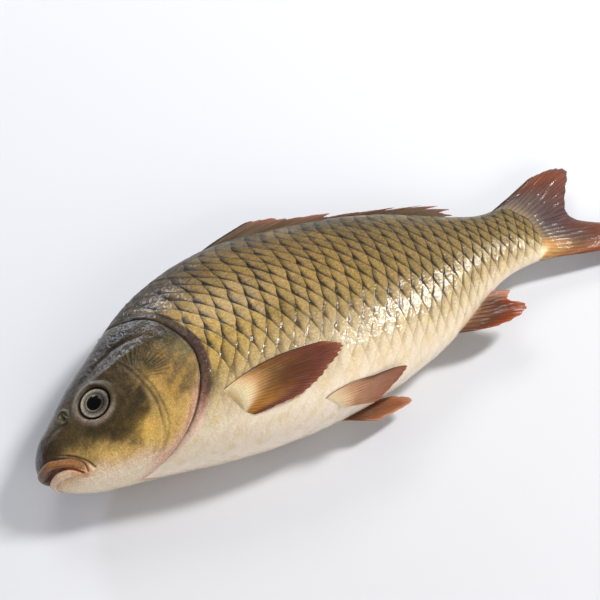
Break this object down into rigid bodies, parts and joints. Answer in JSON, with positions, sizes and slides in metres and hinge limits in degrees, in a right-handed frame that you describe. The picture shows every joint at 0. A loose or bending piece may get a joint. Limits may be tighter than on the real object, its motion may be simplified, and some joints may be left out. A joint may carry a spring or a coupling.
{
  "type": "whole raw carp",
  "caption": "Whole uncut raw carp lying on its right side, with scales, gill covers, eyes, slightly open mouth and folded fins; for food and kitchen scenes.",
  "frame": {"origin": "bottom centre of the fish's box, on the surface that it lies on", "axes": "snout towards -X, tail towards +X, back towards +Y, left flank up towards +Z"},
  "size_m": [0.4268, 0.1582, 0.072],
  "materials": {
    "skin": "wet",
    "fins": "wet",
    "eyes": "wet"
  },
  "bodies": {
    "root": {"carp": "skin"}
  },
  "joints": []
}
